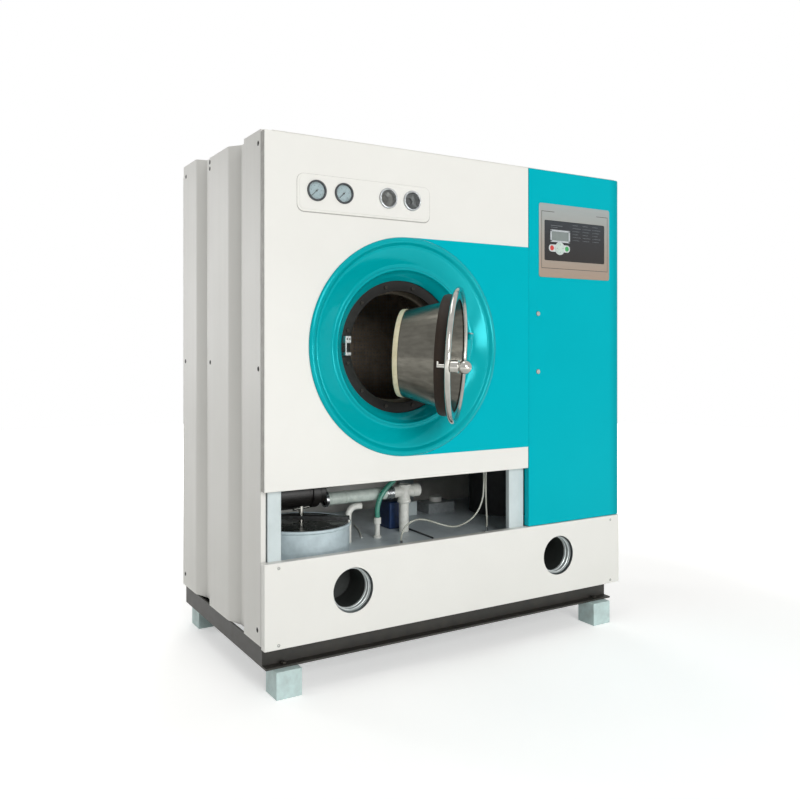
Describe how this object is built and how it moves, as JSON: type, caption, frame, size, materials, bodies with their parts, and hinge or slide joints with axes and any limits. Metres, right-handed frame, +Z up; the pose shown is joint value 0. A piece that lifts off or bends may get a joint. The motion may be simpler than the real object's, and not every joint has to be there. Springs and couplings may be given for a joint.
{
  "type": "dry cleaning machine",
  "caption": "Enclosed dry cleaning machine with a dished round loading door in a pressed teal surround, gauges, a control door and an open service bay over the solvent tank.",
  "frame": {"origin": "on the floor, in the middle of the machine as it stands with its loading door open", "axes": "+X to the right seen from the front, +Y to the rear, +Z up; the front looks along -Y"},
  "size_m": [1.454, 1.233, 1.715],
  "materials": {
    "black_paint": "satin black paint",
    "foot_plastic": "pale grey-green paint",
    "dark_steel": "blackened steel",
    "frame_paint": "pale blue-grey paint",
    "white_paint": "smooth white powder coat",
    "teal_paint": "glossy teal paint",
    "zinc": "zinc plated",
    "galvanised": "galvanised sheet",
    "chrome": "polished",
    "side_paint": "smooth off-white powder coat",
    "gauge_steel": "dark bezel and pale dial",
    "needle_black": "matt black",
    "clear_glass": "clear",
    "plate_enamel": "warm grey plate",
    "dark_panel": "dark glossy overlay",
    "screen_plastic": "pale bezel round a dark display",
    "green_key": "glossy",
    "red_key": "glossy",
    "pad_plastic": "glossy",
    "spun_steel": "spun or welded stainless sheet",
    "rubber_black": "matt",
    "gasket_cream": "matt",
    "brushed": "brushed",
    "cast_alloy": "cast",
    "cast_iron": "painted casting",
    "motor_paint": "grey-blue paint",
    "tank_paint": "grey-blue paint",
    "motor_black": "black paint",
    "pipe_plastic": "pale pipe and fittings",
    "hose_green": "clear green hose"
  },
  "bodies": {
    "cabinet": {"base_frame": "black_paint", "feet": "foot_plastic", "cabinet_frame": "frame_paint", "front_panel": "white_paint", "door_surround": "teal_paint", "skirt_panel": "white_paint", "fasteners": "zinc", "tank_necks": "galvanised", "cabinet_hinges": "dark_steel", "side_panels": "side_paint", "rear_panel": "side_paint", "top_cover": "side_paint", "gauge_plate": "white_paint", "gauge_cases": "gauge_steel", "lenses": "clear_glass", "sight_bezels": "chrome", "hinge_bracket": "brushed", "hinge_pin": "chrome", "latch_keeper": "cast_alloy", "mouth_plate": "black_paint", "tub": "spun_steel", "tub_front": "spun_steel", "bearing_housing": "cast_iron", "drive_belt": "rubber_black", "drum_motor": "motor_paint", "fan_housing": "galvanised", "air_duct": "galvanised", "solvent_tank": "tank_paint", "filter_can": "tank_paint", "pump": "motor_black", "bay_pipework": "pipe_plastic", "bay_hoses": "hose_green", "still": "spun_steel", "electrical_tray": "side_paint"},
    "door": {"door_rim": "chrome", "door_cone": "spun_steel", "door_seal": "rubber_black", "window_gasket": "gasket_cream", "window_glass": "clear_glass", "door_arm": "brushed"},
    "latch": {"door_latch": "chrome"},
    "drum_group": {"drum": "spun_steel", "drum_front": "spun_steel", "drum_lifters": "spun_steel", "drum_back": "spun_steel", "drum_pulley": "cast_iron"},
    "motor_pulley": {"motor_pulley": "cast_iron"},
    "fan_wheel": {"fan_wheel": "galvanised"},
    "needle_left": {"needle_left": "needle_black"},
    "needle_right": {"needle_right": "needle_black"},
    "cabinet_door": {"cabinet_door": "teal_paint", "control_plate": "plate_enamel", "control_glass": "dark_panel", "screen": "screen_plastic"},
    "lock_upper": {"lock_upper": "chrome"},
    "lock_lower": {"lock_lower": "chrome"},
    "start_key": {"start_key": "green_key"},
    "stop_key": {"stop_key": "red_key"},
    "direction_pad": {"direction_pad": "pad_plastic"},
    "clamp_screw": {"clamp_screw": "chrome"}
  },
  "joints": [
    {"name": "door_hinge", "type": "hinge", "parent": "cabinet", "child": "door", "pos_m": [0.015, -0.24652, 1.037], "axis": [0.1108, -0.1091, 0.9878], "range_deg": [-48, 62]},
    {"name": "latch_turn", "type": "hinge", "parent": "door", "child": "latch", "pos_m": [-0.28892, -0.56246, 0.97964], "axis": [0.7381, -0.6731, -0.0467], "range_deg": [0, 90]},
    {"name": "drum_spin", "type": "hinge", "parent": "cabinet", "child": "drum_group", "pos_m": [-0.228, 0.05048, 1.037], "axis": [0, 1, 0], "continuous": true},
    {"name": "motor_spin", "type": "hinge", "parent": "cabinet", "child": "motor_pulley", "pos_m": [-0.55, 0.40048, 0.72], "axis": [0, 1, 0], "continuous": true},
    {"name": "fan_spin", "type": "hinge", "parent": "cabinet", "child": "fan_wheel", "pos_m": [0.455, 0.37048, 1.436], "axis": [0, 1, 0], "continuous": true},
    {"name": "needle_left_turn", "type": "hinge", "parent": "cabinet", "child": "needle_left", "pos_m": [-0.557, -0.24952, 1.511], "axis": [0, 1, 0], "range_deg": [0, 270], "stiffness_Nm_per_rad": 0.002},
    {"name": "needle_right_turn", "type": "hinge", "parent": "cabinet", "child": "needle_right", "pos_m": [-0.464, -0.24952, 1.511], "axis": [0, 1, 0], "range_deg": [0, 270], "stiffness_Nm_per_rad": 0.002},
    {"name": "cabinet_door_hinge", "type": "hinge", "parent": "cabinet", "child": "cabinet_door", "pos_m": [0.713, -0.23752, 1.055], "axis": [0, 0, 1], "range_deg": [0, 95]},
    {"name": "lock_upper_turn", "type": "hinge", "parent": "cabinet_door", "child": "lock_upper", "pos_m": [0.321, -0.24952, 1.157], "axis": [0, -1, 0], "range_deg": [0, 90]},
    {"name": "lock_lower_turn", "type": "hinge", "parent": "cabinet_door", "child": "lock_lower", "pos_m": [0.321, -0.24952, 0.949], "axis": [0, -1, 0], "range_deg": [0, 90]},
    {"name": "start_key_press", "type": "slide", "parent": "cabinet_door", "child": "start_key", "axis": [0, 1, 0], "range_m": [0, 0.0012], "stiffness_N_per_m": 500, "springref_m": -0.0005},
    {"name": "stop_key_press", "type": "slide", "parent": "cabinet_door", "child": "stop_key", "axis": [0, 1, 0], "range_m": [0, 0.0012], "stiffness_N_per_m": 500, "springref_m": -0.0005},
    {"name": "direction_pad_press", "type": "slide", "parent": "cabinet_door", "child": "direction_pad", "axis": [0, 1, 0], "range_m": [0, 0.0012], "stiffness_N_per_m": 500, "springref_m": -0.0005},
    {"name": "clamp_screw_turn", "type": "hinge", "parent": "cabinet", "child": "clamp_screw", "pos_m": [-0.507, -0.02752, 0.465], "axis": [0, 0, 1], "continuous": true}
  ],
  "couplings": [
    {"joint": "motor_spin", "follows": "drum_spin", "ratio": 4.75}
  ]
}
